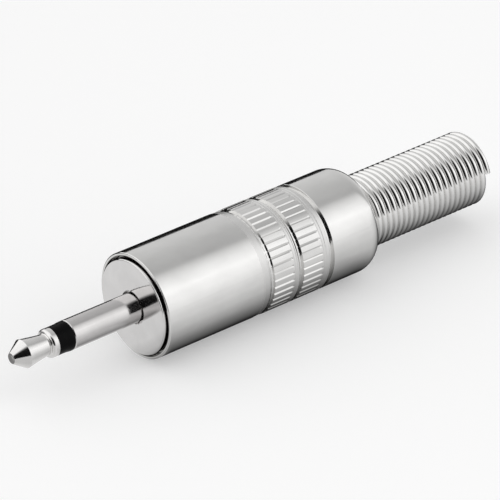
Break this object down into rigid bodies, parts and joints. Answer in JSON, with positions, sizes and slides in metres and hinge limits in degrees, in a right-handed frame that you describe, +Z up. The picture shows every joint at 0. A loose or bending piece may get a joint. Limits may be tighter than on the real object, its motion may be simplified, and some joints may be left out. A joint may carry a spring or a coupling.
{
  "type": "jack plug with spring cable guard",
  "caption": "Straight jack plug with a pointed two-pole pin, a screw-on knurled metal barrel and a coiled spring cable guard.",
  "frame": {"origin": "middle of the flange face that stops against the jack, on the axis of the pin", "axes": "+X along the plug from the pin towards the cable, +Z up, with the cable clamp open at the top"},
  "size_m": [0.0471, 0.009, 0.009],
  "materials": {
    "tip": "bright nickel plate",
    "pin": "bright nickel plate",
    "body": "satin nickel plate",
    "barrel": "polished nickel plate",
    "spring": "bright nickel plated steel wire",
    "tags": "dull tin plate",
    "insulator": "moulded, gloss",
    "liner": "translucent white tube"
  },
  "bodies": {
    "plug": {"tip_contact": "tip", "tip_insulator": "insulator", "pin_sleeve": "pin", "plug_body": "body", "rear_insulator": "insulator", "tip_tag": "tags", "sleeve_tag": "tags"},
    "liner": {"insulating_liner": "liner"},
    "guard": {"strain_spring": "spring"},
    "cover": {"barrel": "barrel"}
  },
  "joints": [
    {"name": "draw_off", "type": "slide", "parent": "plug", "child": "liner", "axis": [1, 0, 0], "range_m": [0, 0.02]},
    {"name": "barrel_advance", "type": "slide", "parent": "liner", "child": "guard", "axis": [1, 0, 0], "range_m": [0, 0.0035]},
    {"name": "barrel_turn", "type": "hinge", "parent": "guard", "child": "cover", "pos_m": [0, 0, 0], "axis": [1, 0, 0], "range_deg": [0, 2520]}
  ],
  "couplings": [
    {"joint": "barrel_turn", "follows": "barrel_advance", "rad_per_m": 12566}
  ]
}
